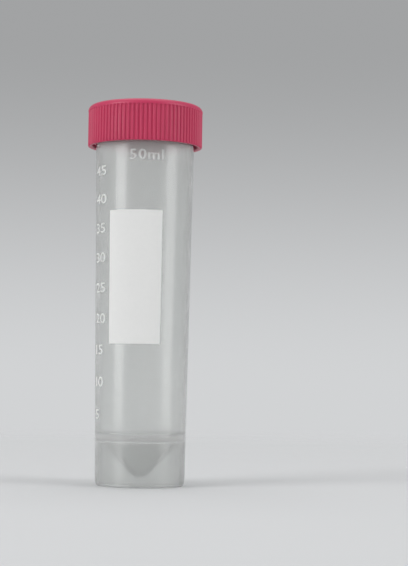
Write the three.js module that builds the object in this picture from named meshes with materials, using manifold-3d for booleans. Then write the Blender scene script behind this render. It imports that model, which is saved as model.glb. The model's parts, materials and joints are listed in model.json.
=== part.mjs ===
// A 50 ml self-standing conical tube with its screw cap.
// Millimetres, +Z up. The origin is the centre of the plane that the foot ring stands on.
//
// Three pieces: the moulded tube (threaded neck, tapered body, cone inside a skirt), the ribbed cap
// and the sealing liner that the cap holds against the tube's lip. The cap is modelled screwed home.

import * as THREE from 'three';
import { mergeVertices } from 'three/addons/utils/BufferGeometryUtils.js';
import Module from 'manifold-3d';

const wasm = await Module();
wasm.setup();

// ---------------------------------------------------------------- driving dimensions

const TOTAL_HEIGHT = 115; // foot to the top of the closed cap

// tube body
const BODY_TOP_R = 14.9; // outside, at the shoulder under the cap
const FOOT_R = 13.55; // outside, at the foot: the body tapers between the two
const WALL = 1.1; // body and cone

// cone and skirt
const CONE_HALF_ANGLE = THREE.MathUtils.degToRad(45); // from the axis
const TIP_R = 3; // inside radius of the cone's rounded tip
const TIP_LIFT = 3.2; // the cone's outside tip clears the bench by this much
const SKIRT_WALL = 1.1; // at the foot
const SKIRT_DRAFT = 0.1; // the skirt's inside narrows by this much up to its roof
const SKIRT_ROOF = 0.2; // width of the flat roof between the cone and the skirt
const FOOT_EDGE_HEIGHT = 2.2; // the foot's outer edge is a quarter of an ellipse, this tall
const FOOT_LAND = 0.3; // flat width that the ellipse leaves to stand on

// neck
const NECK_HEIGHT = 9.2; // shoulder to lip
const NECK_STEP = 0.15; // the neck is this much smaller in radius than the body
const SHOULDER_RISE = 0.5; // height of the slope between body and neck
const LIP_R = 0.45; // rounding of both edges of the lip

// screw thread, on the neck and in the cap
const THREAD_PITCH = 4;
const THREAD_DEPTH = 0.9;
const THREAD_ROOT = 0.4 * THREAD_PITCH; // axial width at the foot of the ridge
const THREAD_CREST = 0.22 * THREAD_PITCH; // axial width at the top of the ridge
const THREAD_MARGIN = 0.5; // plain wall left above and below each ridge
const THREAD_FADE = THREE.MathUtils.degToRad(40); // the ridge rises from the wall over this much turn
const THREAD_SINK = 0.3; // share of the wall that the ridge's foot is sunk into it, for a clean join

// cap
const CAP_HEIGHT = 12.5;
const CAP_TOP = 1.4; // thickness of the top
const CAP_WALL = 1.1; // behind the grooves
const CAP_EDGE_R = 1.8; // rounded shoulder
const CROWN_PROUD = 0.1; // the smooth crown stands out past the ribs
const RIB_REACH = 0.3; // the ribs run this far up into the rounded shoulder
const RIB_COUNT = 84;
const RIB_DEPTH = 0.35;
const RIB_CREST = 0.36; // share of the rib pitch
const RIB_GROOVE = 0.3; // share of the rib pitch
const CAP_LEAD_IN = 0.4; // bevel inside the open edge

// sealing liner
const LINER_THICKNESS = 1;
const LINER_EDGE_R = 0.2;

// running clearance between pieces, in every direction
const GAP = 0.3;

// facets of a full round, and of half of each profile arc
const ROUND_FACETS = 84;
const ARC_DIVISIONS = 2;

const FULL_TURN = 2 * Math.PI;
const SAME_POINT = 1e-5; // points closer than this are one point
const OVERCUT = 1; // a cutter runs this far past the face that it opens
const RIB_OVERLAP = 0.15; // the ribs run this far into the crown, for a clean join

// ---------------------------------------------------------------- derived places

const capBottomZ = TOTAL_HEIGHT - CAP_HEIGHT;
const capCeilingZ = TOTAL_HEIGHT - CAP_TOP;
const linerTopZ = capCeilingZ - GAP;
const linerBottomZ = linerTopZ - LINER_THICKNESS;
const lipZ = linerBottomZ - GAP;
const shoulderZ = lipZ - NECK_HEIGHT;

const bodySlope = (BODY_TOP_R - FOOT_R) / shoulderZ;
const bodyRadius = (z) => FOOT_R + bodySlope * z;

const neckR = BODY_TOP_R - NECK_STEP;
const mouthR = BODY_TOP_R - WALL;
const lipR = Math.min(LIP_R, 0.45 * (neckR - mouthR));
const neckThreadR = neckR + THREAD_DEPTH;
const capBoreR = neckThreadR + GAP;
const grooveR = capBoreR + CAP_WALL;
const ribR = grooveR + RIB_DEPTH;
const crownR = ribR + CROWN_PROUD;
const shoulderFootZ = TOTAL_HEIGHT - CAP_EDGE_R;
const ribTopZ = shoulderFootZ + RIB_REACH;

// ---------------------------------------------------------------- helpers

/** A closed three.js geometry as a manifold solid. */
function solid(geometry) {
  const bare = geometry.clone();
  bare.deleteAttribute('normal');
  bare.deleteAttribute('uv');
  const merged = mergeVertices(bare, SAME_POINT);
  return new wasm.Manifold(new wasm.Mesh({
    numProp: 3,
    vertProperties: new Float32Array(merged.attributes.position.array),
    triVerts: new Uint32Array(merged.index.array),
  }));
}

/** A manifold solid as a three.js geometry. */
function geometryOf(body) {
  const mesh = body.getMesh();
  const geometry = new THREE.BufferGeometry();
  geometry.setAttribute('position', new THREE.BufferAttribute(mesh.vertProperties, 3));
  geometry.setIndex(new THREE.BufferAttribute(mesh.triVerts, 1));
  geometry.computeVertexNormals();
  return geometry;
}

/** Revolve a profile of (radius, height), drawn with the material on its left, about +Z. */
function revolve(profile) {
  const points = [];
  for (const point of profile.getPoints(ARC_DIVISIONS)) {
    if (points.length === 0 || point.distanceTo(points.at(-1)) > SAME_POINT) points.push(point);
  }
  const lathe = new THREE.LatheGeometry(points, ROUND_FACETS);
  lathe.rotateX(Math.PI / 2);
  return solid(lathe);
}

/**
 * A right-hand helical ridge on a round wall, from height `low` to height `high` of its centre line.
 * `phaseZ` is the centre line's height at angle zero. `outward` is 1 on a neck and -1 in a bore.
 * Each end rises out of the wall, and the foot of the section is sunk into it. The ridge's sections
 * stand half way between the wall's facet edges, so that the two cut each other cleanly.
 */
function helicalRidge({ wallR, outward, sink, phaseZ, low, high }) {
  const rise = THREAD_PITCH / FULL_TURN;
  const facet = FULL_TURN / ROUND_FACETS;
  const first = Math.ceil((low - phaseZ) / rise / facet) + 0.5;
  const last = Math.floor((high - phaseZ) / rise / facet) - 0.5;
  const steps = last - first;
  const rootR = wallR - outward * sink;
  const rootHalf = THREAD_ROOT / 2;
  const crestHalf = THREAD_CREST / 2;

  const positions = [];
  for (let i = 0; i <= steps; i += 1) {
    const angle = (first + i) * facet;
    const turnFromEnd = Math.min(i, steps - i) * facet;
    const fade = THREE.MathUtils.smoothstep(turnFromEnd, 0, THREAD_FADE);
    const crestR = wallR + outward * THREE.MathUtils.lerp(-sink / 2, THREAD_DEPTH, fade);
    const z = phaseZ + rise * angle;
    const section = [[rootR, -rootHalf], [crestR, -crestHalf], [crestR, crestHalf], [rootR, rootHalf]];
    for (const [r, dz] of section) {
      positions.push(r * Math.cos(angle), r * Math.sin(angle), z + dz);
    }
  }

  const index = [];
  const quad = (a, b, c, d) => index.push(...(outward > 0 ? [a, c, b, a, d, c] : [a, b, c, a, c, d]));
  for (let i = 0; i < steps; i += 1) {
    for (let k = 0; k < 4; k += 1) {
      const next = (k + 1) % 4;
      quad(4 * i + k, 4 * i + next, 4 * i + 4 + next, 4 * i + 4 + k);
    }
  }
  quad(3, 2, 1, 0);
  quad(4 * steps, 4 * steps + 1, 4 * steps + 2, 4 * steps + 3);

  const ridge = new THREE.BufferGeometry();
  ridge.setAttribute('position', new THREE.Float32BufferAttribute(positions, 3));
  ridge.setIndex(index);
  return solid(ridge);
}

/** A named sub-part. */
function part(name, body, look) {
  const mesh = new THREE.Mesh(geometryOf(body), new THREE.MeshStandardMaterial(look));
  mesh.name = name;
  return mesh;
}

// ---------------------------------------------------------------- tube

/**
 * The moulding's section. The two cone walls are parallel and share the centre of their rounded tips.
 * The skirt is the body's own wall run on down past the cone, hollow below and open at the foot.
 */
function tubeProfile() {
  const tan = Math.tan(CONE_HALF_ANGLE);
  const sin = Math.sin(CONE_HALF_ANGLE);
  const outerTipR = TIP_R + WALL;
  const tipZ = TIP_LIFT + outerTipR;
  const outerApexZ = tipZ - outerTipR / sin;
  const innerApexZ = tipZ - TIP_R / sin;

  const skirtInnerR = FOOT_R - SKIRT_WALL;
  const roofOuterR = skirtInnerR - SKIRT_DRAFT;
  const roofInnerR = roofOuterR - SKIRT_ROOF;
  const roofZ = outerApexZ + roofInnerR / tan;
  const footEdgeWidth = SKIRT_WALL - FOOT_LAND;

  // where the inside cone, r = (z - innerApexZ) tan, meets the tapered bore, r = bodyRadius(z) - WALL
  const coneTopZ = (FOOT_R - WALL + innerApexZ * tan) / (tan - bodySlope);
  const slopeFootZ = shoulderZ - SHOULDER_RISE;

  const profile = new THREE.Path();
  profile.absarc(0, tipZ, outerTipR, -Math.PI / 2, -CONE_HALF_ANGLE, false);
  profile.lineTo(roofInnerR, roofZ);
  profile.lineTo(roofOuterR, roofZ);
  profile.lineTo(skirtInnerR, 0);
  profile.absellipse(
    FOOT_R - footEdgeWidth, FOOT_EDGE_HEIGHT, footEdgeWidth, FOOT_EDGE_HEIGHT, -Math.PI / 2, 0, false,
  );
  profile.lineTo(bodyRadius(slopeFootZ), slopeFootZ);
  profile.lineTo(neckR, shoulderZ);
  profile.absarc(neckR - lipR, lipZ - lipR, lipR, 0, Math.PI / 2, false);
  profile.absarc(mouthR + lipR, lipZ - lipR, lipR, Math.PI / 2, Math.PI, false);
  profile.lineTo(mouthR, shoulderZ);
  profile.lineTo(bodyRadius(coneTopZ) - WALL, coneTopZ);
  profile.absarc(0, tipZ, TIP_R, -CONE_HALF_ANGLE, -Math.PI / 2, true);
  return profile;
}

const neckThreadLow = shoulderZ + THREAD_MARGIN + THREAD_ROOT / 2;
const neckThreadHigh = lipZ - lipR - THREAD_MARGIN - THREAD_ROOT / 2;

function makeTube() {
  const thread = helicalRidge({
    wallR: neckR,
    outward: 1,
    sink: THREAD_SINK * (neckR - mouthR),
    phaseZ: neckThreadLow,
    low: neckThreadLow,
    high: neckThreadHigh,
  });
  const body = revolve(tubeProfile()).add(thread);
  return part('tube', body, {
    color: 0xd7dcda, roughness: 0.35, metalness: 0, transparent: true, opacity: 0.55,
  });
}

// ---------------------------------------------------------------- cap

/** The ribbed outline of the cap: upright ribs with flat crests and flat-bottomed grooves. */
function ribbedOutline() {
  const pitch = FULL_TURN / RIB_COUNT;
  const outline = new THREE.Shape();
  const points = [];
  for (let i = 0; i < RIB_COUNT; i += 1) {
    const middle = i * pitch;
    const groove = middle + pitch / 2;
    points.push(
      [ribR, middle - (RIB_CREST * pitch) / 2],
      [ribR, middle + (RIB_CREST * pitch) / 2],
      [grooveR, groove - (RIB_GROOVE * pitch) / 2],
      [grooveR, groove + (RIB_GROOVE * pitch) / 2],
    );
  }
  outline.setFromPoints(points.map(([r, a]) => new THREE.Vector2(r * Math.cos(a), r * Math.sin(a))));
  return outline;
}

/** The smooth top of the cap, down to where the ribs begin, part of the way down its rounded shoulder. */
function capCrown() {
  const startAngle = Math.asin(RIB_REACH / CAP_EDGE_R);
  const startR = crownR - CAP_EDGE_R * (1 - Math.cos(startAngle));
  const profile = new THREE.Path();
  profile.moveTo(0, ribTopZ);
  profile.lineTo(startR, ribTopZ);
  profile.absarc(crownR - CAP_EDGE_R, shoulderFootZ, CAP_EDGE_R, startAngle, Math.PI / 2, false);
  profile.lineTo(0, TOTAL_HEIGHT);
  return revolve(profile);
}

/** The room inside the cap, with a lead-in at its open edge. */
function capRoom() {
  const profile = new THREE.Path();
  profile.moveTo(0, capBottomZ - OVERCUT);
  profile.lineTo(capBoreR + CAP_LEAD_IN + OVERCUT, capBottomZ - OVERCUT);
  profile.lineTo(capBoreR, capBottomZ + CAP_LEAD_IN);
  profile.lineTo(capBoreR, capCeilingZ);
  profile.lineTo(0, capCeilingZ);
  return revolve(profile);
}

/**
 * How far the cap's thread runs below the tube's. Screwed home, the top of the cap's ridge pulls
 * against the underside of the tube's ridge, with the running clearance measured across the flanks.
 */
function threadDrop() {
  const flank = (THREAD_ROOT - THREAD_CREST) / 2 / THREAD_DEPTH;
  const halves = (THREAD_ROOT + THREAD_CREST) / 2 - flank * GAP;
  return halves + GAP * Math.hypot(1, flank);
}

function makeCap() {
  const ribs = new THREE.ExtrudeGeometry(ribbedOutline(), {
    depth: ribTopZ + RIB_OVERLAP - capBottomZ,
    bevelEnabled: false,
  });
  ribs.translate(0, 0, capBottomZ);
  const thread = helicalRidge({
    wallR: capBoreR,
    outward: -1,
    sink: THREAD_SINK * CAP_WALL,
    phaseZ: neckThreadLow - threadDrop(),
    low: capBottomZ + CAP_LEAD_IN + THREAD_MARGIN + THREAD_ROOT / 2,
    high: linerBottomZ - GAP - THREAD_MARGIN - THREAD_ROOT / 2,
  });
  const body = solid(ribs).add(capCrown()).subtract(capRoom()).add(thread);
  return part('cap', body, { color: 0xc4384f, roughness: 0.4, metalness: 0 });
}

// ---------------------------------------------------------------- cap liner

/** The sealing disc. It fills the cap's bore above the thread, which keeps it from falling out. */
function makeLiner() {
  const outerR = capBoreR - GAP;
  const edgeR = Math.min(LINER_EDGE_R, LINER_THICKNESS / 3);
  const profile = new THREE.Path();
  profile.moveTo(0, linerBottomZ);
  profile.lineTo(outerR - edgeR, linerBottomZ);
  profile.absarc(outerR - edgeR, linerBottomZ + edgeR, edgeR, -Math.PI / 2, 0, false);
  profile.absarc(outerR - edgeR, linerTopZ - edgeR, edgeR, 0, Math.PI / 2, false);
  profile.lineTo(0, linerTopZ);
  return part('cap_liner', revolve(profile), { color: 0xf0efea, roughness: 0.7, metalness: 0 });
}

// ---------------------------------------------------------------- assembly

const conicalTube = new THREE.Group();
conicalTube.add(makeTube(), makeLiner(), makeCap());

export default conicalTube;
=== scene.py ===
# %% [markdown]
# # A 50 ml conical tube
# The tube is one clear-milky polypropylene moulding: a threaded neck, a slightly tapered body, and a
# cone closed inside a round skirt, so that it stands by itself. A ribbed red cap screws over the neck
# and holds a thin sealing disc against the lip. A white writing panel and the volume numbers are
# printed on the body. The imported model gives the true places; this script gives every piece its
# smooth surface, its fine ribs and threads, its print and its finish.

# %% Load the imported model
import json
import math

import bmesh
import bpy
from mathutils import Matrix, Vector

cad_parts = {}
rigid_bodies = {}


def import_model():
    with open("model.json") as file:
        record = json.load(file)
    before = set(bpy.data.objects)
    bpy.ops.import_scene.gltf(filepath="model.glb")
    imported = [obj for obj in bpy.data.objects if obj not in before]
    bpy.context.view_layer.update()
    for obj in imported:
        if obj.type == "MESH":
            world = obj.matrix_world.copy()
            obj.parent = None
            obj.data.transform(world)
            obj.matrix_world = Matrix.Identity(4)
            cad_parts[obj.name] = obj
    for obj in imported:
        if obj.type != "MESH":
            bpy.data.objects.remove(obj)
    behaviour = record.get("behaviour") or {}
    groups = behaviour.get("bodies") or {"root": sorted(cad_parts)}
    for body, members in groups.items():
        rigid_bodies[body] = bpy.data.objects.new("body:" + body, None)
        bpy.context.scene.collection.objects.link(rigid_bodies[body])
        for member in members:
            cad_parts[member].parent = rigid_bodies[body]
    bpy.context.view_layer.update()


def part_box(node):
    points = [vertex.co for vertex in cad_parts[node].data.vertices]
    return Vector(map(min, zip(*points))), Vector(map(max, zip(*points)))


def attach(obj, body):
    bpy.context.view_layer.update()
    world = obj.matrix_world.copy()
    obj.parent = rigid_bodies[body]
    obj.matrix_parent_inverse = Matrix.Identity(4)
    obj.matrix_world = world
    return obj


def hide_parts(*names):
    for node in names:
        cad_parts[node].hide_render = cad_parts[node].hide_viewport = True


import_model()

# %% [markdown]
# ## Sizes
# Everything is in metres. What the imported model's boxes say is read from them: the overall height, the
# cap's foot and radius, the lip. The few sizes that a box can't say, such as the wall, are named here
# in millimetres, as on a moulder's drawing. Separate pieces keep a small gap, as real ones do before
# they are tightened, so that no two faces lie in the same place.

# %% Sizes of the tube and of the cap
MM = 0.001

tube_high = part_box("tube")[1]
cap_low, cap_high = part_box("cap")
disc_low, disc_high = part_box("cap_liner")

LIP_Z = tube_high[2]
NECK_HEIGHT = 9.2 * MM
SHOULDER_Z = LIP_Z - NECK_HEIGHT
BODY_TOP_R = 14.9 * MM
FOOT_R = 13.55 * MM
WALL = 1.1 * MM
BODY_SLOPE = (BODY_TOP_R - FOOT_R) / SHOULDER_Z
NECK_STEP = 0.15 * MM
NECK_R = BODY_TOP_R - NECK_STEP
MOUTH_R = BODY_TOP_R - WALL

GAP = 0.3 * MM
CAP_BORE_R = disc_high[0] + GAP
CAP_CEILING_Z = disc_high[2] + GAP

PITCH = 4 * MM
FADE_DEGREES = 40
THREAD = {
    "Pitch": PITCH, "Depth": 0.9 * MM, "Root": 1.6 * MM, "Crest": 0.88 * MM,
    "Fade": PITCH * FADE_DEGREES / 360, "Tolerance": 0.03 * MM,
}


def body_radius(z):
    """Outside radius of the tapered body at height z."""
    return FOOT_R + BODY_SLOPE * z


print("lip at", round(LIP_Z / MM, 2), "mm, shoulder at", round(SHOULDER_Z / MM, 2), "mm")

# %% [markdown]
# ## Expressions instead of wires
# A node tree is a formula drawn with boxes. It can be wired by hand in the editor, or in a script one
# node and one link at a time, but it is easier to read as the formula. A Term wraps one output
# socket, and each operator on it adds the Math node that does the sum, so that `1 - mask * 0.3`
# builds its own nodes. Graph adds every other kind of node through one method.

# %% Terms
class Term:
    """An output socket that can stand in a sum."""

    def __init__(self, graph, socket):
        self.graph, self.socket = graph, socket

    def __add__(self, other):
        return self.graph.math("ADD", self, other)

    def __sub__(self, other):
        return self.graph.math("SUBTRACT", self, other)

    def __mul__(self, other):
        return self.graph.math("MULTIPLY", self, other)

    def __truediv__(self, other):
        return self.graph.math("DIVIDE", self, other)

    def __pow__(self, other):
        return self.graph.math("POWER", self, other)

    def __radd__(self, other):
        return self.graph.math("ADD", other, self)

    def __rsub__(self, other):
        return self.graph.math("SUBTRACT", other, self)

    def __rmul__(self, other):
        return self.graph.math("MULTIPLY", other, self)

    def __rtruediv__(self, other):
        return self.graph.math("DIVIDE", other, self)

    def __abs__(self):
        return self.graph.math("ABSOLUTE", self)

    def clamped(self):
        """The value held between 0 and 1."""
        return self.graph.math("ADD", self, 0, use_clamp=True)

    def eased(self):
        """The value held between 0 and 1, with a soft start and end."""
        t = self.clamped()
        return t * t * (3 - 2 * t)


# %% Graphs
class Graph:
    """A node tree that is being built."""

    def __init__(self, tree):
        self.tree = tree

    def feed(self, socket, value):
        """Give a socket a value, or link a term into it."""
        if isinstance(value, Term):
            self.tree.links.new(value.socket, socket)
        else:
            socket.default_value = value

    def add(self, kind, settings=None, sockets=None, out=0):
        """Add a node: its settings come first, then its sockets. Returns the output named or numbered.

        Several names of outputs give a list.
        """
        node = self.tree.nodes.new(kind)
        for name, value in (settings or {}).items():
            setattr(node, name, value)
        for name, value in (sockets or {}).items():
            self.feed(node.inputs[name], value)
        if isinstance(out, tuple):
            return [Term(self, node.outputs[name]) for name in out]
        return Term(self, node.outputs[out]) if node.outputs else node

    def math(self, operation, *values, use_clamp=False):
        """A Math node on these values or terms."""
        settings = {"operation": operation, "use_clamp": use_clamp}
        return self.add("ShaderNodeMath", settings, dict(enumerate(values)))

    def axes(self, place):
        """The x, y and z of a place, as three terms."""
        return self.add("ShaderNodeSeparateXYZ", sockets={0: place}, out=("X", "Y", "Z"))


# %% [markdown]
# ## Geometry Nodes in a few calls
# Whatever follows a rule here, such as threads, ribs and marks, is made by a geometry tree. Each tree
# gets named inputs for its sizes. A modifier keeps the value of an input under the socket's
# identifier, so that is how it is set, and before the object is first evaluated. The result could
# stay live, but a plain mesh is what other programs can read: it is copied out, and the object that
# held the modifier goes with its old mesh.

# %% Building a geometry tree
def geometry_tree(name, inputs):
    """A new geometry tree with a Geometry input and these named ones. Returns it, its graph and inputs."""
    tree = bpy.data.node_groups.new(name, "GeometryNodeTree")
    tree.interface.new_socket("Geometry", in_out="INPUT", socket_type="NodeSocketGeometry")
    for socket_name, kind in inputs.items():
        tree.interface.new_socket(socket_name, in_out="INPUT", socket_type=f"NodeSocket{kind}")
    tree.interface.new_socket("Geometry", in_out="OUTPUT", socket_type="NodeSocketGeometry")
    graph = Graph(tree)
    source = tree.nodes.new("NodeGroupInput")
    return tree, graph, {s.name: Term(graph, s) for s in source.outputs if s.name}


def finish_tree(graph, geometry, material):
    """Every tree ends alike: real geometry, with its finish on it."""
    real = graph.add("GeometryNodeRealizeInstances", sockets={"Geometry": geometry})
    done = graph.add("GeometryNodeSetMaterial", sockets={"Geometry": real, "Material": material})
    graph.add("NodeGroupOutput", sockets={"Geometry": done})


# %% Using a geometry tree
def settled(obj):
    """The plain mesh that an object's modifiers make. Removing the old mesh removes the object too."""
    bpy.context.view_layer.update()
    depsgraph = bpy.context.evaluated_depsgraph_get()
    mesh = bpy.data.meshes.new_from_object(obj.evaluated_get(depsgraph), depsgraph=depsgraph)
    bpy.data.meshes.remove(obj.data)
    return mesh


def grown(obj, tree, values):
    """The plain mesh that a tree makes of an object."""
    modifier = obj.modifiers.new(tree.name, "NODES")
    modifier.node_group = tree
    for item in tree.interface.items_tree:
        if item.in_out == "INPUT" and item.name in values:
            modifier[item.identifier] = values[item.name]
    return settled(obj)


def shown(name, mesh):
    """An object at the origin that shows a mesh."""
    obj = bpy.data.objects.new(name, mesh)
    mesh.name = name
    bpy.context.scene.collection.objects.link(obj)
    return obj


# %% [markdown]
# ## Finishes
# Four finishes cover the object: natural polypropylene, red polyethylene, white ink and the foam of
# the sealing disc. None of them is quite even: the flow of the melt leaves faint long waves in a
# moulding, and handling leaves patches that are a little duller. An image could hold that, but noise
# on the piece's own coordinates needs no unwrapping, shows no seam and stays fine close up. It is
# kept small enough to be felt rather than seen.

# %% Parts that the finishes share
def blank_finish(name):
    """A material with an empty tree, and its graph."""
    material = bpy.data.materials.new(name)
    material.use_nodes = True
    material.node_tree.nodes.clear()
    return material, Graph(material.node_tree)


def principled(graph, varying, **fixed):
    """A Principled shader. Values that are the same all over go straight onto its own sockets."""
    fixed = {socket.replace("_", " "): value for socket, value in fixed.items()}
    return graph.add("ShaderNodeBsdfPrincipled", sockets={**fixed, **varying})


def finish(name, surface):
    """A whole material from a function that adds its shader to a graph."""
    material, graph = blank_finish(name)
    graph.add("ShaderNodeOutputMaterial", sockets={"Surface": surface(graph)})
    return material


def noise(graph, scale, detail=2, stretch=(1, 1, 1)):
    """Noise on the piece's own coordinates, in bumps per metre."""
    place = graph.add("ShaderNodeTexCoord", out="Object")
    place = graph.add("ShaderNodeMapping", sockets={"Vector": place, "Scale": stretch})
    return graph.add("ShaderNodeTexNoise", sockets={"Vector": place, "Scale": scale, "Detail": detail})


def blend(graph, amount, first, second):
    """A colour between two, by an amount from 0 to 1."""
    sockets = {"Factor": amount, 6: (*first, 1), 7: (*second, 1)}
    return graph.add("ShaderNodeMix", {"data_type": "RGBA"}, sockets, out=2)


def bump(graph, height, strength, distance):
    """The normal of a surface that this height is laid over."""
    sockets = {"Height": height, "Strength": strength, "Distance": distance}
    return graph.add("ShaderNodeBump", sockets=sockets)


# %% [markdown]
# ### Natural polypropylene
# The tube's plastic holds no pigment. It is made of tiny crystals that scatter light, so the thicker
# it is, the milkier it looks. A volume or subsurface shader would follow that exactly, but both are
# slow and grainy in a wall of one millimetre. Two Principled shaders do it cheaply: one for the thin
# wall, which lets most light through, and one for the thick places. A mask mixes them, added up from
# three soft steps: near the ring where cone, wall and skirt meet, near the foot, and out beyond the
# body's wall, where the thread and the raised lettering stand.

# %% The tube's plastic
RING_Z, RING_REACH, RING_MILK = 14.5 * MM, 2.4 * MM, 0.4
FOOT_REACH, FOOT_MILK = 1.5 * MM, 0.4
RAISED_REACH, RAISED_MILK = 0.25 * MM, 0.5


def natural_polypropylene(graph):
    """Lets most light through and scatters the rest.

    It is milkier where cone, wall and skirt meet, at the foot, and where something stands out of the wall.
    """
    haze = noise(graph, 90, stretch=(1, 1, 0.25))
    flow = noise(graph, 140, stretch=(1, 1, 0.12))
    surface = {
        "Roughness": 0.17 + 0.07 * noise(graph, 60),
        "Normal": bump(graph, flow, 0.25, 0.05 * MM),
    }
    thin_colour = {"Base Color": blend(graph, haze, (0.90, 0.915, 0.905), (0.95, 0.955, 0.945))}
    thick_colour = {"Base Color": blend(graph, haze, (0.965, 0.97, 0.965), (0.985, 0.99, 0.985))}
    thin = principled(graph, surface | thin_colour, Transmission_Weight=0.82, IOR=1.49)
    thick = principled(graph, surface | thick_colour, Transmission_Weight=0.35, IOR=1.49)
    x, y, z = graph.axes(graph.add("ShaderNodeTexCoord", out="Object"))
    ring = 1 - (abs(z - RING_Z) / RING_REACH).eased()
    foot = 1 - (z / FOOT_REACH).eased()
    radius = (x * x + y * y) ** 0.5
    raised = ((radius - (z * BODY_SLOPE + FOOT_R)) / RAISED_REACH).eased()
    milky = ring * RING_MILK + foot * FOOT_MILK + raised * RAISED_MILK
    return graph.add("ShaderNodeMixShader", sockets={0: milky, 1: thin, 2: thick})


# %% [markdown]
# ### Red polyethylene
# The cap is pigmented all through, so hardly any light gets in and a plain Principled shader is
# enough. One flat red would look like paint. So the colour drifts a little with slow noise and the
# gloss with finer noise, and a very fine bump breaks up the highlights as the mould's grain does.

# %% The cap's plastic
def red_polyethylene(graph):
    """The cap's raspberry red, satin, with its colour a little uneven from the melt."""
    surface = {
        "Base Color": blend(graph, noise(graph, 120), (0.49, 0.024, 0.088), (0.57, 0.032, 0.108)),
        "Roughness": 0.34 + 0.12 * noise(graph, 300, detail=4),
        "Normal": bump(graph, noise(graph, 2500, detail=3), 0.12, 0.02 * MM),
    }
    return principled(graph, surface, IOR=1.51)


# %% [markdown]
# ### White printing ink
# Screen print is a matt, chalky layer. A fully opaque white would be simpler, but print this thin
# lets some of the light behind it through, so the same shader has a little transmission. One noise
# stands for how thickly the ink lies, and drives both the colour and the gloss.

# %% The ink
def white_ink(graph):
    """Matt white print, thin enough to let some light through, with the fine tooth that takes a pen."""
    cover = noise(graph, 900, detail=4)
    surface = {
        "Base Color": blend(graph, cover, (0.91, 0.915, 0.905), (0.95, 0.95, 0.94)),
        "Roughness": 0.62 + 0.12 * cover,
        "Normal": bump(graph, noise(graph, 6000), 0.2, 0.01 * MM),
    }
    return principled(graph, surface, IOR=1.5, Transmission_Weight=0.2)


# %% [markdown]
# ### Sealing foam
# The disc is a soft closed-cell foam. Its cells could be modelled, but they would cost many faces
# for something that only shows when the cap is off. One noise drives the colour, the gloss and the
# bump alike: a cell that looks deeper is also glossier, and is painted darker as painted shade.

# %% The foam, and all four materials
def sealing_foam(graph):
    """The disc's soft off-white foam, with a fine closed cell whose hollows are painted darker as shade."""
    cells_and_painted_shade = noise(graph, 3500, detail=3)
    surface = {
        # Painted shade: the deeper a cell lies in the bump, the darker its colour.
        "Base Color": blend(graph, cells_and_painted_shade, (0.78, 0.77, 0.72), (0.86, 0.85, 0.80)),
        "Roughness": 0.7 + 0.15 * cells_and_painted_shade,
        "Normal": bump(graph, cells_and_painted_shade, 0.3, 0.03 * MM),
    }
    return principled(graph, surface, IOR=1.45)


PLASTIC = finish("natural_polypropylene", natural_polypropylene)
RED = finish("red_polyethylene", red_polyethylene)
INK = finish("white_ink", white_ink)
FOAM = finish("sealing_foam", sealing_foam)
print("finishes:", ", ".join(m.name for m in (PLASTIC, RED, INK, FOAM)))

# %% [markdown]
# ## Turned forms
# The tube, the cap and the disc are round, so each is an outline turned about the axis. The Screw
# modifier can turn a drawn curve. A short function is used here instead, because the columns then
# fall exactly on the ribs, each pole is one point, and every face is known to point outwards. The
# outline starts and ends on the axis, with the plastic on its left as it is followed. Corners are
# arcs, and a stretch that a thread will rise from is cut into short steps, because only a point that
# is there can be moved.

# %% Outline helpers
def arc(centre_r, centre_z, radius, start, end, steps=8, height=None):
    """Points of an arc in the outline, from one angle to another in degrees, 0 pointing outwards.

    With a height the arc is a part of an ellipse, that tall from its centre.
    """
    height = radius if height is None else height
    angles = [math.radians(start + (end - start) * i / steps) for i in range(steps + 1)]
    return [(centre_r + radius * math.cos(a), centre_z + height * math.sin(a)) for a in angles]


def straight(start, end, step):
    """Points of a straight stretch, no further apart than a step, without its last point."""
    count = max(1, math.ceil(math.dist(start, end) / step))
    return [tuple(a + (b - a) * i / count for a, b in zip(start, end)) for i in range(count)]


def turned(name, outline, columns):
    """A closed surface turned about +Z. Both ends of the outline are single points on the axis."""
    rings = outline[1:-1]
    turns = [2 * math.pi * c / columns for c in range(columns)]
    points = [(r * math.cos(t), r * math.sin(t), z) for r, z in rings for t in turns]
    first, last = len(points), len(points) + 1
    points += [(0, 0, outline[0][1]), (0, 0, outline[-1][1])]
    pairs = [(c, (c + 1) % columns) for c in range(columns)]
    faces = [(first, b, a) for a, b in pairs]
    for row in range(0, first - columns, columns):
        faces += [(row + a, row + b, row + columns + b, row + columns + a) for a, b in pairs]
    faces += [(first - columns + a, first - columns + b, last) for a, b in pairs]
    mesh = bpy.data.meshes.new(name)
    mesh.from_pydata(points, [], faces)
    return shown(name, mesh)


def smoothed(mesh, sharp_above=40):
    """Smooth shading, with an edge kept crisp where two faces meet more sharply than this."""
    mesh.shade_smooth()
    mesh.set_sharp_from_angle(angle=math.radians(sharp_above))
    return mesh


# %% [markdown]
# ## The screw thread
# A thread is a ridge that climbs one pitch for each turn. It could be a section swept along a helix
# and joined on by a boolean, but then the long seam between ridge and neck has to be cleaned. Around
# a neck that is already cut into small steps it is a rule: a point at height z and angle a belongs
# to the nearest turn of the ridge, and it moves outwards by how near it is, so the skin stays whole.
# The same tree with its direction reversed makes the cap's inner thread. The ridge fades in and out
# over part of a turn, as a moulded thread does.

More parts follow.
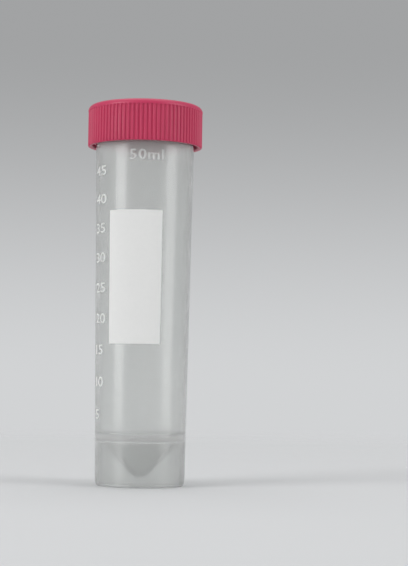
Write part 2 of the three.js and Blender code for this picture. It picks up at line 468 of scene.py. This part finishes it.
# %% The thread tree
def thread_tree():
    """Moves the points that lie on one radius, within a tolerance, out or in along a helical ridge."""
    sizes = ("Wall Radius", "Tolerance", "Direction", "Pitch", "Depth", "Root", "Crest", "Phase",
             "Low", "High", "Fade")
    inputs = {"Material": "Material", **dict.fromkeys(sizes, "Float")}
    tree, graph, given = geometry_tree("screw_thread", inputs)
    x, y, z = graph.axes(graph.add("GeometryNodeInputPosition"))
    radius = (x * x + y * y) ** 0.5
    turn = graph.math("ARCTAN2", y, x) / (2 * math.pi)

    turns = (z - given["Phase"]) / given["Pitch"] - turn
    from_ridge = (turns - graph.math("ROUND", turns)) * given["Pitch"]
    ridge_z = z - from_ridge
    flank = (given["Root"] - given["Crest"]) / 2
    shape = ((given["Root"] / 2 - abs(from_ridge)) / flank).eased()
    rise_in = ((ridge_z - given["Low"]) / given["Fade"]).eased()
    run_out = ((given["High"] - ridge_z) / given["Fade"]).eased()
    on_wall = graph.math("LESS_THAN", abs(radius - given["Wall Radius"]), given["Tolerance"])
    move = given["Direction"] * given["Depth"] * shape * rise_in * run_out * on_wall / radius

    offset = graph.add("ShaderNodeCombineXYZ", sockets={"X": x * move, "Y": y * move})
    moved = graph.add("GeometryNodeSetPosition", sockets={"Geometry": given["Geometry"], "Offset": offset})
    finish_tree(graph, moved, given["Material"])
    return tree


THREAD_TREE = thread_tree()
print("thread:", round(PITCH / MM, 1), "mm a turn,", round(THREAD["Depth"] / MM, 1), "mm deep")

# %% [markdown]
# ## The tube
# The whole tube is one moulding. A Solidify modifier could thicken a single skin, but the cone, the
# skirt, the foot and the lip each have a section of their own, so both sides are in one outline, and
# light bends through a real thickness. It goes from the cone's outside tip out to the skirt's roof,
# down the inside of the skirt, round the foot, up the long tapered wall and the neck, over the lip,
# and back down the bore, round the fillet at its foot, to the inside of the cone. The cone stands at
# 45 degrees, so its straight sides would meet the axis at two points, its inner and outer apex.

# %% Outline of the tube
TIP_R = 3 * MM
TIP_LIFT = 3.2 * MM
SKIRT_WALL = 1.1 * MM
SKIRT_DRAFT = 0.1 * MM
SKIRT_ROOF = 0.2 * MM
FOOT_EDGE_HEIGHT = 2.2 * MM
FOOT_LAND = 0.3 * MM
INNER_EDGE_R = 0.2 * MM
BORE_FILLET = 2 * MM
LIP_R = 0.42 * MM
SHOULDER_RISE = 0.5 * MM
FINE_STEP = 0.12 * MM
LONG_STEP = 5 * MM
TIP_Z = TIP_LIFT + TIP_R + WALL
OUTER_APEX_Z = TIP_Z - (TIP_R + WALL) * math.sqrt(2)
INNER_APEX_Z = TIP_Z - TIP_R * math.sqrt(2)


def tube_outline():
    """The tube's section, from the cone's outside tip round to its inside tip."""
    skirt_r = FOOT_R - SKIRT_WALL
    roof_r = skirt_r - SKIRT_DRAFT
    cone_r = roof_r - SKIRT_ROOF
    roof_z = OUTER_APEX_Z + cone_r
    fillet_z = (FOOT_R - WALL + INNER_APEX_Z + BORE_FILLET * (math.sqrt(2) - 1)) / (1 - BODY_SLOPE)
    fillet_r = body_radius(fillet_z) - WALL
    shoulder_foot_z = SHOULDER_Z - SHOULDER_RISE

    outline = arc(0, TIP_Z, TIP_R + WALL, -90, -45)
    outline += straight(outline[-1], (cone_r, roof_z), LONG_STEP)[1:]
    outline += arc(cone_r, roof_z - SKIRT_ROOF, SKIRT_ROOF, 90, 0, 4)
    outline += arc(skirt_r + INNER_EDGE_R, INNER_EDGE_R, INNER_EDGE_R, 180, 270, 3)
    edge = SKIRT_WALL - FOOT_LAND
    outline += arc(FOOT_R - edge, FOOT_EDGE_HEIGHT, edge, -90, 0, 10, FOOT_EDGE_HEIGHT)
    outline += straight(outline[-1], (body_radius(shoulder_foot_z), shoulder_foot_z), LONG_STEP)[1:]
    outline += [(body_radius(shoulder_foot_z), shoulder_foot_z)]
    outline += straight((NECK_R, SHOULDER_Z), (NECK_R, LIP_Z - LIP_R), FINE_STEP)
    outline += arc(NECK_R - LIP_R, LIP_Z - LIP_R, LIP_R, 0, 90, 5)
    outline += arc(MOUTH_R + LIP_R, LIP_Z - LIP_R, LIP_R, 90, 180, 5)
    outline += straight((MOUTH_R, SHOULDER_Z), (fillet_r, fillet_z), LONG_STEP)
    outline += arc(fillet_r - BORE_FILLET, fillet_z, BORE_FILLET, 0, -45, 6)
    outline += arc(0, TIP_Z, TIP_R, -45, -90)
    return outline


# %% The tube with its thread
TUBE_COLUMNS = 240
THREAD_CLEARANCE = 0.5 * MM
THREAD_MARGIN = THREAD_CLEARANCE + THREAD["Root"] / 2
NECK_THREAD_LOW = SHOULDER_Z + THREAD_MARGIN
neck_thread = {
    **THREAD, "Wall Radius": NECK_R, "Direction": 1.0, "Phase": NECK_THREAD_LOW,
    "Low": NECK_THREAD_LOW, "High": LIP_Z - LIP_R - THREAD_MARGIN, "Material": PLASTIC,
}
tube_mesh = grown(turned("tube_blank", tube_outline(), TUBE_COLUMNS), THREAD_TREE, neck_thread)
tube = shown("tube_body", smoothed(tube_mesh))
print("tube_body:", len(tube_mesh.polygons), "faces")

# %% [markdown]
# ## The cap
# The cap's side is grooved for grip, right up into its rounded shoulder. One rib could be modelled and
# set round the cap as copies, but then each copy has to be joined to the skin beside it. The grooves
# follow a rule too: going round, the depth swings between the flat crest of a rib and the flat floor
# of a groove, and it dies away on the shoulder. So the turned skin's own points are moved inwards.

# %% The grip tree
def grip_tree():
    """Moves the points outside one radius inwards, into grooves that end below a height."""
    sizes = ("Ribs", "Crest Depth", "Groove Depth", "Crest Share", "Groove Share", "Top", "Run-out", "Inside")
    inputs = {"Material": "Material", **dict.fromkeys(sizes, "Float")}
    tree, graph, given = geometry_tree("grip_grooves", inputs)
    x, y, z = graph.axes(graph.add("GeometryNodeInputPosition"))
    radius = (x * x + y * y) ** 0.5
    ribs = graph.math("ARCTAN2", y, x) / (2 * math.pi) * given["Ribs"]

    from_rib = abs(ribs - graph.math("ROUND", ribs))
    flank = 0.5 - given["Groove Share"] / 2 - given["Crest Share"] / 2
    into_groove = ((from_rib - given["Crest Share"] / 2) / flank).eased()
    fade = ((given["Top"] - z) / given["Run-out"]).eased()
    outside = graph.math("GREATER_THAN", radius, given["Inside"])
    depth = given["Crest Depth"] + (given["Groove Depth"] - given["Crest Depth"]) * into_groove
    move = -1 * depth * fade * outside / radius

    offset = graph.add("ShaderNodeCombineXYZ", sockets={"X": x * move, "Y": y * move})
    moved = graph.add("GeometryNodeSetPosition", sockets={"Geometry": given["Geometry"], "Offset": offset})
    finish_tree(graph, moved, given["Material"])
    return tree


# %% [markdown]
# The cap's own outline is a cup upside down: the ceiling, the bore with its lead-in bevel, the lower
# edge, the side and the rounded shoulder up to the flat top. The crown stands out past the ribs, and
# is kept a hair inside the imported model's box. Inside is the mating thread. It sits lower than the
# neck's ridge, so that it pulls against the underside of that ridge, with the gap measured square to
# the sloping flanks.

# %% Outline of the cap
RIBS = 84
CAP_EDGE_R = 1.8 * MM
RIB_REACH = 0.3 * MM
RUN_OUT = 0.5 * MM
INSIDE_CAD = 0.01 * MM
LEAD_IN = 0.4 * MM
LOWER_EDGE_R = 0.3 * MM
CEILING_FILLET = 0.25 * MM
CAP_FINE_STEP = 0.16 * MM
CAP_LONG_STEP = 3 * MM
RUN_OUT_STEP = 0.1 * MM
TOP_RINGS = (0.6, 0.2, 0)
CAP_LOW_Z, CAP_TOP_Z = cap_low[2], cap_high[2]
SHOULDER_FOOT_Z = CAP_TOP_Z - CAP_EDGE_R
RIB_TOP_Z = SHOULDER_FOOT_Z + RIB_REACH
CROWN_R = cap_high[0] + CAP_EDGE_R - math.sqrt(CAP_EDGE_R**2 - RIB_REACH**2) - INSIDE_CAD


def cap_outline():
    """The cap's section, from the middle of its ceiling round to the middle of its top."""
    outline = [(0, CAP_CEILING_Z), (CAP_BORE_R / 2, CAP_CEILING_Z)]
    outline += arc(CAP_BORE_R - CEILING_FILLET, CAP_CEILING_Z - CEILING_FILLET, CEILING_FILLET, 90, 0, 3)
    outline += straight(outline[-1], (CAP_BORE_R, CAP_LOW_Z + LEAD_IN), CAP_FINE_STEP)[1:]
    outline += [(CAP_BORE_R, CAP_LOW_Z + LEAD_IN), (CAP_BORE_R + LEAD_IN, CAP_LOW_Z)]
    outline += arc(CROWN_R - LOWER_EDGE_R, CAP_LOW_Z + LOWER_EDGE_R, LOWER_EDGE_R, -90, 0, 3)
    outline += straight(outline[-1], (CROWN_R, RIB_TOP_Z - RUN_OUT), CAP_LONG_STEP)[1:]
    outline += straight((CROWN_R, RIB_TOP_Z - RUN_OUT), (CROWN_R, SHOULDER_FOOT_Z), RUN_OUT_STEP)
    outline += arc(CROWN_R - CAP_EDGE_R, SHOULDER_FOOT_Z, CAP_EDGE_R, 0, 90, 15)
    return outline + [(CROWN_R * share, CAP_TOP_Z) for share in TOP_RINGS]


# %% The cap with its grip and thread
SAMPLES_PER_RIB = 8
THREAD_FLANK = (THREAD["Root"] - THREAD["Crest"]) / 2 / THREAD["Depth"]
THREAD_DROP = (THREAD["Root"] + THREAD["Crest"]) / 2 + GAP * (math.hypot(1, THREAD_FLANK) - THREAD_FLANK)
cap_thread = {
    **THREAD, "Wall Radius": CAP_BORE_R, "Direction": -1.0, "Phase": NECK_THREAD_LOW - THREAD_DROP,
    "Low": CAP_LOW_Z + LEAD_IN + THREAD_MARGIN, "High": disc_low[2] - GAP - THREAD_MARGIN,
    "Material": RED,
}
grip = {
    "Ribs": float(RIBS), "Crest Depth": 0.1 * MM, "Groove Depth": 0.45 * MM, "Crest Share": 0.36,
    "Groove Share": 0.3, "Top": RIB_TOP_Z, "Run-out": RUN_OUT, "Inside": CAP_BORE_R + 2 * LEAD_IN,
    "Material": RED,
}
blank = turned("cap_blank", cap_outline(), RIBS * SAMPLES_PER_RIB)
ribbed = shown("cap_ribbed", grown(blank, grip_tree(), grip))
cap_mesh = grown(ribbed, THREAD_TREE, cap_thread)
cap = shown("screw_cap", smoothed(cap_mesh, sharp_above=50))
print("screw_cap:", len(cap_mesh.polygons), "faces,", RIBS, "ribs")

# %% [markdown]
# ## The sealing disc
# A thin foam disc lies under the cap's ceiling and closes on the lip. It is only seen when the cap is
# off. A cylinder with a Bevel modifier would do, but the outline helpers are at hand, and they give
# its soft edges in two arcs.

# %% The disc
DISC_EDGE_R = 0.2 * MM
DISC_COLUMNS = 180


def disc_outline():
    """The disc's section, from the middle of its underside round to the middle of its top."""
    radius, low, high = disc_high[0], disc_low[2], disc_high[2]
    outline = [(0, low), (radius / 2, low)]
    outline += arc(radius - DISC_EDGE_R, low + DISC_EDGE_R, DISC_EDGE_R, -90, 0, 4)
    outline += arc(radius - DISC_EDGE_R, high - DISC_EDGE_R, DISC_EDGE_R, 0, 90, 4)
    return outline + [(radius / 2, high), (0, high)]


disc = turned("sealing_disc", disc_outline(), DISC_COLUMNS)
smoothed(disc.data)
disc.data.materials.append(FOAM)
print("sealing_disc:", len(disc.data.polygons), "faces")

# %% [markdown]
# ## Print on a tapered wall
# Print could be an image on the tube's own material, or a sheet pressed on by a Shrinkwrap modifier.
# An image goes soft close up, and Shrinkwrap squeezes the figures. Here print is laid out flat, as
# on the printer's film, and then rolled onto the wall, as a layer with a real thickness. In the
# flat layout x is the distance round the tube from the front, z is the height, and -y is the
# thickness of the ink. One small group of nodes does the rolling for the panel, the numbers and the
# marks. The wall is tapered, so widths are true at one height, about the middle of the print.

# %% The rolling tree
def wrap(graph, geometry, radius_at_foot, slope, rolling_radius):
    """Roll a flat layout onto the tapered wall."""
    x, y, z = graph.axes(graph.add("GeometryNodeInputPosition"))
    angle = x / rolling_radius
    radius = radius_at_foot + slope * z - y
    around = {
        "X": radius * graph.math("SINE", angle),
        "Y": -1 * radius * graph.math("COSINE", angle),
        "Z": z,
    }
    spot = graph.add("ShaderNodeCombineXYZ", sockets=around)
    return graph.add("GeometryNodeSetPosition", sockets={"Geometry": geometry, "Position": spot})


WALL_SIZES = {"Foot Radius": "Float", "Slope": "Float", "Rolling Radius": "Float"}
PRINT_Z = 60 * MM
PRINT_R = body_radius(PRINT_Z)
on_the_wall = {"Foot Radius": FOOT_R, "Slope": BODY_SLOPE, "Rolling Radius": PRINT_R, "Material": INK}
INK_THICKNESS = 0.05 * MM
INK_LIFT = 0.01 * MM


def rolled_layout_tree():
    """Rolls a finished flat layout onto the wall and inks it."""
    tree, graph, given = geometry_tree("rolled_layout", {"Material": "Material", **WALL_SIZES})
    rolled = wrap(graph, given["Geometry"], given["Foot Radius"], given["Slope"], given["Rolling Radius"])
    finish_tree(graph, rolled, given["Material"])
    return tree


ROLLED_LAYOUT = rolled_layout_tree()

# %% [markdown]
# ### The writing panel
# A plain white rectangle to write on. A bent plane would look the same from the front, but it has no
# thickness and so isn't closed. This is a flat box of ink, cut into many upright strips so that it
# can bend, and rolled on by its own tree. Its sides are given as angles round the tube, and its ends
# as heights.

# %% The panel
def panel_tree():
    """A flat box of ink, rolled onto the wall a little clear of it."""
    sizes = ("Width", "Height", "Thickness", "Lift", "Centre X", "Centre Z")
    inputs = {"Material": "Material", **WALL_SIZES, **dict.fromkeys(sizes, "Float")}
    tree, graph, given = geometry_tree("writing_panel", inputs)
    size = {"X": given["Width"], "Y": given["Thickness"], "Z": given["Height"]}
    size = graph.add("ShaderNodeCombineXYZ", sockets=size)
    counts = {"Size": size, "Vertices X": 60, "Vertices Y": 2, "Vertices Z": 12}
    sheet = graph.add("GeometryNodeMeshCube", sockets=counts)
    centre = {"X": given["Centre X"], "Y": given["Thickness"] * -0.5 - given["Lift"], "Z": given["Centre Z"]}
    centre = graph.add("ShaderNodeCombineXYZ", sockets=centre)
    placed = graph.add("GeometryNodeTransform", sockets={"Geometry": sheet, "Translation": centre})
    rolled = wrap(graph, placed, given["Foot Radius"], given["Slope"], given["Rolling Radius"])
    finish_tree(graph, rolled, given["Material"])
    return tree


PANEL_LEFT, PANEL_RIGHT = math.radians(-43.5), math.radians(22)
PANEL_LOW_Z, PANEL_HIGH_Z = 42.4 * MM, 82.1 * MM
panel_sizes = {
    "Width": (PANEL_RIGHT - PANEL_LEFT) * PRINT_R, "Height": PANEL_HIGH_Z - PANEL_LOW_Z,
    "Thickness": INK_THICKNESS, "Lift": INK_LIFT, "Centre X": (PANEL_RIGHT + PANEL_LEFT) / 2 * PRINT_R,
    "Centre Z": (PANEL_HIGH_Z + PANEL_LOW_Z) / 2,
}
seed = shown("panel_seed", bpy.data.meshes.new("panel_seed"))
panel_mesh = grown(seed, panel_tree(), {**on_the_wall, **panel_sizes})
panel = shown("writing_panel", smoothed(panel_mesh))
print("writing_panel:", round(panel_sizes["Width"] / MM, 1), "by", round(panel_sizes["Height"] / MM, 1), "mm")

# %% [markdown]
# ## Volumes
# The numbers stand where the liquid would. A list of heights would do, but it would be nine guesses.
# The cone below the bore is a plain 45 degree cone; above it the bore is a very slim cone, whose
# volume grows with the cube of its radius. Turned round, that gives the height for a volume, so the
# marks are spaced as real ones are, wider towards the foot.

# %% Height of a volume
BORE_FOOT_Z = (FOOT_R - WALL + INNER_APEX_Z) / (1 - BODY_SLOPE)
BORE_FOOT_R = body_radius(BORE_FOOT_Z) - WALL
CONE_VOLUME = math.pi / 3 * BORE_FOOT_R**3
ML = 1e-6


def level(volume):
    """Height of the liquid's surface, for a volume in cubic metres. Also works on a Term."""
    cubed = BORE_FOOT_R**3 + (volume - CONE_VOLUME) * (3 * BODY_SLOPE / math.pi)
    return (cubed ** (1 / 3) + (WALL - FOOT_R)) / BODY_SLOPE


NUMBERED = range(5, 50, 5)
print("levels, mm:", {v: round(level(v * ML) / MM, 1) for v in NUMBERED})

# %% [markdown]
# ### The volume marks
# One line for each 2.5 ml, a long one at each number and a short one between. An Array modifier
# spaces its copies evenly, and these aren't. In a tree, each point of a line knows its own index: the
# index gives the volume, the volume gives the height, and one bar is put on each point. The bars are
# made real before they are rolled, because a copy can be moved and turned but not bent.

# %% The marks
def marks_tree():
    """Bars of ink at the levels of evenly stepped volumes, rolled onto the wall."""
    sizes = ("Start", "Step", "Long", "Short", "Height", "Thickness", "Lift", "Right X")
    inputs = {"Material": "Material", "Count": "Int", **WALL_SIZES, **dict.fromkeys(sizes, "Float")}
    tree, graph, given = geometry_tree("volume_marks", inputs)
    index = graph.add("GeometryNodeInputIndex")
    halfway = graph.math("MODULO", index + 1, 2)
    length = given["Long"] + (given["Short"] - given["Long"]) * halfway
    spot = {"X": given["Right X"] - length / 2, "Z": level(given["Start"] + given["Step"] * index)}
    spot = graph.add("ShaderNodeCombineXYZ", sockets=spot)
    line = graph.add("GeometryNodeMeshLine", sockets={"Count": given["Count"]})
    points = graph.add("GeometryNodeSetPosition", sockets={"Geometry": line, "Position": spot})

    bar = {"Size": (1, 1, 1), "Vertices X": 14, "Vertices Y": 2, "Vertices Z": 2}
    bar = graph.add("GeometryNodeMeshCube", sockets=bar)
    size = {"X": length, "Y": given["Thickness"], "Z": given["Height"]}
    size = graph.add("ShaderNodeCombineXYZ", sockets=size)
    bars = {"Points": points, "Instance": bar, "Scale": size}
    bars = graph.add("GeometryNodeInstanceOnPoints", sockets=bars)
    real = graph.add("GeometryNodeRealizeInstances", sockets={"Geometry": bars})
    raised = graph.add("ShaderNodeCombineXYZ", sockets={"Y": given["Thickness"] * -0.5 - given["Lift"]})
    raised = graph.add("GeometryNodeSetPosition", sockets={"Geometry": real, "Offset": raised})
    rolled = wrap(graph, raised, given["Foot Radius"], given["Slope"], given["Rolling Radius"])
    finish_tree(graph, rolled, given["Material"])
    return tree


NUMBERS_LEFT = math.radians(-74) * PRINT_R
MARK_GAP = 3.6 * MM
marks = {
    "Start": 2.5 * ML, "Step": 2.5 * ML, "Count": 19, "Long": 7 * MM, "Short": 4 * MM,
    "Height": 0.3 * MM, "Thickness": INK_THICKNESS, "Lift": INK_LIFT, "Right X": NUMBERS_LEFT - MARK_GAP,
}
seed = shown("marks_seed", bpy.data.meshes.new("marks_seed"))
marks_mesh = grown(seed, marks_tree(), {**on_the_wall, **marks})
volume_marks = shown("volume_marks", smoothed(marks_mesh))
print("volume_marks:", marks["Count"], "lines")

# %% [markdown]
# ### The volume numbers
# Text is a curve, and a Curve modifier could bend it while it stays editable. It is made a mesh
# instead, stood up in the layout and cut by upright planes every half millimetre, because a long
# flat face can't bend when it is rolled onto the wall. The cuts leave every figure's outline alone.

# %% Text as a flat layout
FIGURE_SHARE = 0.73
SLICE = 0.5 * MM
SAME_POINT = 0.001 * MM


def text_layout(name, text, height, left, middle_z, thickness,
                lift=INK_LIFT, stretch=1.0, spacing=1.0, slope=0.0):
    """A text as a closed mesh in the flat layout, its figures this high, starting at x = left.

    A figure is a fixed share of the font's size. The text's back is lifted this much above the wall,
    or sunk into it where the lift is negative. A slope bevels the edges of its strokes by this much.
    """
    curve = bpy.data.curves.new(name, "FONT")
    curve.body = text
    curve.size = height / FIGURE_SHARE
    curve.space_character = spacing
    curve.extrude = thickness / 2 - slope
    curve.bevel_depth, curve.bevel_resolution, curve.offset = slope, 0, -slope / 2
    curve.resolution_u = 6
    writing = bpy.data.objects.new(name, curve)
    bpy.context.scene.collection.objects.link(writing)
    depsgraph = bpy.context.evaluated_depsgraph_get()
    mesh = bpy.data.meshes.new_from_object(writing.evaluated_get(depsgraph))
    bpy.data.curves.remove(curve)
    mesh.transform(Matrix.Rotation(math.pi / 2, 4, "X") @ Matrix.Diagonal((stretch, 1, 1, 1)))
    xs = [v.co.x for v in mesh.vertices]
    zs = [v.co.z for v in mesh.vertices]
    shift = (left - min(xs), -thickness / 2 - lift, middle_z - (min(zs) + max(zs)) / 2)
    mesh.transform(Matrix.Translation(shift))
    return mesh


# %% Many texts as one
def joined(name, meshes):
    """Several meshes as one: same points merged, sliced upright so that it can be rolled, no slivers."""
    form = bmesh.new()
    for mesh in meshes:
        form.from_mesh(mesh)
        bpy.data.meshes.remove(mesh)
    bmesh.ops.remove_doubles(form, verts=form.verts, dist=SAME_POINT)
    low = min(v.co.x for v in form.verts)
    high = max(v.co.x for v in form.verts)
    for cut in range(1, int((high - low) / SLICE) + 1):
        everything = [*form.verts, *form.edges, *form.faces]
        plane = Vector((low + cut * SLICE, 0, 0))
        bmesh.ops.bisect_plane(form, geom=everything, plane_co=plane, plane_no=(1, 0, 0), dist=SAME_POINT)
    bmesh.ops.dissolve_degenerate(form, dist=SAME_POINT, edges=form.edges)
    bmesh.ops.triangulate(form, faces=[f for f in form.faces if len(f.verts) > 4])
    mesh = bpy.data.meshes.new(name)
    form.to_mesh(mesh)
    form.free()
    return mesh


# %% The volume numbers
NUMBER_HEIGHT = 3.0 * MM
NUMBER_STRETCH = 1.5
figures = [
    text_layout(f"number_{v}", str(v), NUMBER_HEIGHT, NUMBERS_LEFT, level(v * ML), INK_THICKNESS,
                stretch=NUMBER_STRETCH)
    for v in NUMBERED
]
flat_numbers = shown("flat_numbers", joined("flat_numbers", figures))
numbers_mesh = grown(flat_numbers, ROLLED_LAYOUT, on_the_wall)
numbers = shown("volume_numbers", smoothed(numbers_mesh))
print("volume_numbers:", len(figures), "numbers,", len(numbers_mesh.polygons), "faces")

# %% [markdown]
# ## The moulded capacity
# Just below the cap the whole capacity stands in low relief, because it is engraved in the mould. It
# is the same plastic as the wall, so it can't simply lie on it as ink does: hidden surfaces between
# the two would catch the light. A boolean union makes it one closed solid with the tube. The text is
# sunk a little into the wall first, so that the two really cross, and the edges of its strokes slope,
# as they must to leave a mould.

# %% The capacity in relief
CAPACITY_HEIGHT = 3.2 * MM
CAPACITY_LEFT, CAPACITY_RIGHT = math.radians(-17.5) * PRINT_R, math.radians(22) * PRINT_R
CAPACITY_SPACING = 1.12
CAPACITY_Z = 98.5 * MM
RELIEF, SUNK, DRAFT = 0.4 * MM, 0.35 * MM, 0.15 * MM


def capacity_layout(stretch):
    """The capacity's lettering, flat, widened by this much."""
    return text_layout("capacity", "50ml", CAPACITY_HEIGHT, CAPACITY_LEFT, CAPACITY_Z, RELIEF + SUNK,
                       lift=-SUNK, stretch=stretch, spacing=CAPACITY_SPACING, slope=DRAFT)


unwidened = capacity_layout(1.0)
natural_width = max(v.co.x for v in unwidened.vertices) - min(v.co.x for v in unwidened.vertices)
bpy.data.meshes.remove(unwidened)
capacity_flat = joined("capacity_flat", [capacity_layout((CAPACITY_RIGHT - CAPACITY_LEFT) / natural_width)])
capacity = shown("capacity", grown(shown("capacity_flat", capacity_flat), ROLLED_LAYOUT,
                                   {**on_the_wall, "Material": PLASTIC}))

# %% The union with the tube
union = tube.modifiers.new("capacity", "BOOLEAN")
union.operation, union.solver, union.object = "UNION", "MANIFOLD", capacity
before = len(tube.data.polygons)
tube = shown("tube_body", smoothed(settled(tube)))
bpy.data.meshes.remove(capacity.data)
if len(tube.data.polygons) == before:
    raise RuntimeError("the union left the tube as it was")
print("tube_body with its capacity:", before, "->", len(tube.data.polygons), "faces")

# %% [markdown]
# ## Camera
# A long lens keeps the tube's sides nearly parallel. The camera stands in front of the panel, low
# down, and looks slightly up. A Track To constraint could aim it, but it can't be a little off
# centre or a little askew, as a camera held by hand is. So its place is a chain of four plain moves,
# read from the last to the first: roll, tilt, turn, and then out to where it stands.

# %% Camera
CAMERA_LENS = 100.5
CAMERA_DISTANCE, CAMERA_HEIGHT = 0.480, 0.0340
CAMERA_TURN, CAMERA_TILT, CAMERA_ROLL = math.radians(-2.22), math.radians(90 + 3.27), math.radians(0.83)
CAMERA_NEAREST = 0.01

camera_data = bpy.data.cameras.new("camera")
camera_data.lens = CAMERA_LENS
camera_data.clip_start = CAMERA_NEAREST
camera = bpy.data.objects.new("camera", camera_data)
camera.matrix_world = (
    Matrix.Translation((0, -CAMERA_DISTANCE, CAMERA_HEIGHT))
    @ Matrix.Rotation(CAMERA_TURN, 4, "Z")
    @ Matrix.Rotation(CAMERA_TILT, 4, "X")
    @ Matrix.Rotation(CAMERA_ROLL, 4, "Z")
)
bpy.context.scene.collection.objects.link(camera)
bpy.context.scene.camera = camera
print("camera:", CAMERA_LENS, "mm lens,", CAMERA_DISTANCE, "m away")

# %% [markdown]
# ## Backdrop
# One picture could both light the tube and stand behind it, but then each shade of the backdrop
# would change the light as well. So the world has two backgrounds. An even white, at half strength,
# is what lights. A pale backdrop that darkens upwards is what the camera sees, and also what shows in
# a reflection or through the plastic. Heights in it are sines of the angle above the horizon.

# %% Backdrop
PALE, UPPER = (0.64, 0.65, 0.66), (0.36, 0.365, 0.37)
BACKDROP_FOOT, BACKDROP_HEIGHT = -0.01, 0.22
WHITE = (1, 1, 1, 1)
WORLD_LIGHT, WORLD_PICTURE = 0.5, 1.0


def studio_world():
    """A world that lights evenly and is seen as a backdrop that darkens upwards."""
    world = bpy.data.worlds.new("studio")
    world.use_nodes = True
    world.node_tree.nodes.clear()
    graph = Graph(world.node_tree)
    ray = {kind: graph.add("ShaderNodeLightPath", out=f"Is {kind} Ray")
           for kind in ("Camera", "Glossy", "Transmission")}
    seen = graph.math("MAXIMUM", graph.math("MAXIMUM", ray["Camera"], ray["Glossy"]), ray["Transmission"])
    direction = graph.add("ShaderNodeTexCoord", out="Generated")
    up = graph.axes(direction)[2]
    backdrop = blend(graph, ((up - BACKDROP_FOOT) / BACKDROP_HEIGHT).eased(), PALE, UPPER)
    light = graph.add("ShaderNodeBackground", sockets={"Color": WHITE, "Strength": WORLD_LIGHT})
    picture = graph.add("ShaderNodeBackground", sockets={"Color": backdrop, "Strength": WORLD_PICTURE})
    both = graph.add("ShaderNodeMixShader", sockets={0: seen, 1: light, 2: picture})
    graph.add("ShaderNodeOutputWorld", sockets={"Surface": both})
    return world


bpy.context.scene.world = studio_world()

# %% [markdown]
# ## Floor
# A studio curves its paper up behind the object, so that no edge shows. That works from one side
# only. This floor is a flat disc whose paper thins out with distance, until the backdrop shows
# through it, so it has no edge from any side. It lies a hair below the foot, because two faces in one
# place flicker.

# %% Floor
FLOOR_R = 2.5
FLOOR_DROP = 0.02 * MM
PAPER = (0.66, 0.67, 0.68, 1)
PAPER_FADE_START, PAPER_FADE_LENGTH = 0.1, 0.4


def floor_paper(graph):
    """Pale paper that thins out into the backdrop with distance, so that no edge shows."""
    place = graph.add("ShaderNodeTexCoord", out="Object")
    far = graph.add("ShaderNodeVectorMath", {"operation": "LENGTH"}, {0: place}, out="Value")
    paper = {"Alpha": 1 - ((far - PAPER_FADE_START) / PAPER_FADE_LENGTH).eased()}
    return principled(graph, paper, Base_Color=PAPER, Roughness=0.8)


floor_mesh = bpy.data.meshes.new("studio_floor")
form = bmesh.new()
bmesh.ops.create_circle(form, cap_ends=True, segments=96, radius=FLOOR_R)
form.to_mesh(floor_mesh)
form.free()
floor = shown("studio_floor", floor_mesh)
floor.location.z = -FLOOR_DROP
floor_mesh.materials.append(finish("floor_paper", floor_paper))

# %% [markdown]
# ## Lights
# Clear plastic shows its shape by what it reflects. Two tall soft boxes at the sides leave long
# upright strips on the round wall, the left one brighter, so that the two sides differ. A large one
# overhead lifts the cap's top and softens the shadows. Small bright lamps would light it as well, but
# they leave hard points. Sizes are in metres and power in watts.

# %% Lights
def softbox(name, place, target, size, power):
    """A rectangular soft light that faces a point."""
    data = bpy.data.lights.new(name, "AREA")
    data.shape = "RECTANGLE"
    data.size, data.size_y = size
    data.energy = power
    light = bpy.data.objects.new(name, data)
    light.matrix_world = Matrix.Translation(place) @ (
        (Vector(target) - Vector(place)).to_track_quat("-Z", "Y").to_matrix().to_4x4()
    )
    bpy.context.scene.collection.objects.link(light)
    return light


MIDDLE = (0, 0, 0.06)
TALL, LARGE = (0.7, 1.4), (1.6, 1.6)
softbox("left_softbox", (-1.10, -0.70, 0.60), MIDDLE, TALL, power=10.0)
softbox("right_softbox", (1.20, -0.50, 0.56), MIDDLE, TALL, power=7.5)
softbox("top_softbox", (0.0, 0.4, 1.8), MIDDLE, LARGE, power=9.0)

# %% [markdown]
# ## Each piece on its body
# Each piece rides on the body that it belongs to, so that it moves with it when the cap is unscrewed,
# and stands for the imported solid that it refines. The print replaces nothing. It rides on the tube,
# because it is on that moulding's surface.

# %% Ride and replace, and the view transform
for piece in (tube, panel, numbers, volume_marks):
    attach(piece, "tube")
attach(cap, "cap")
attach(disc, "liner")
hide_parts("tube")
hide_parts("cap")
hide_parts("cap_liner")

scene = bpy.context.scene
scene.view_settings.view_transform = "Standard"
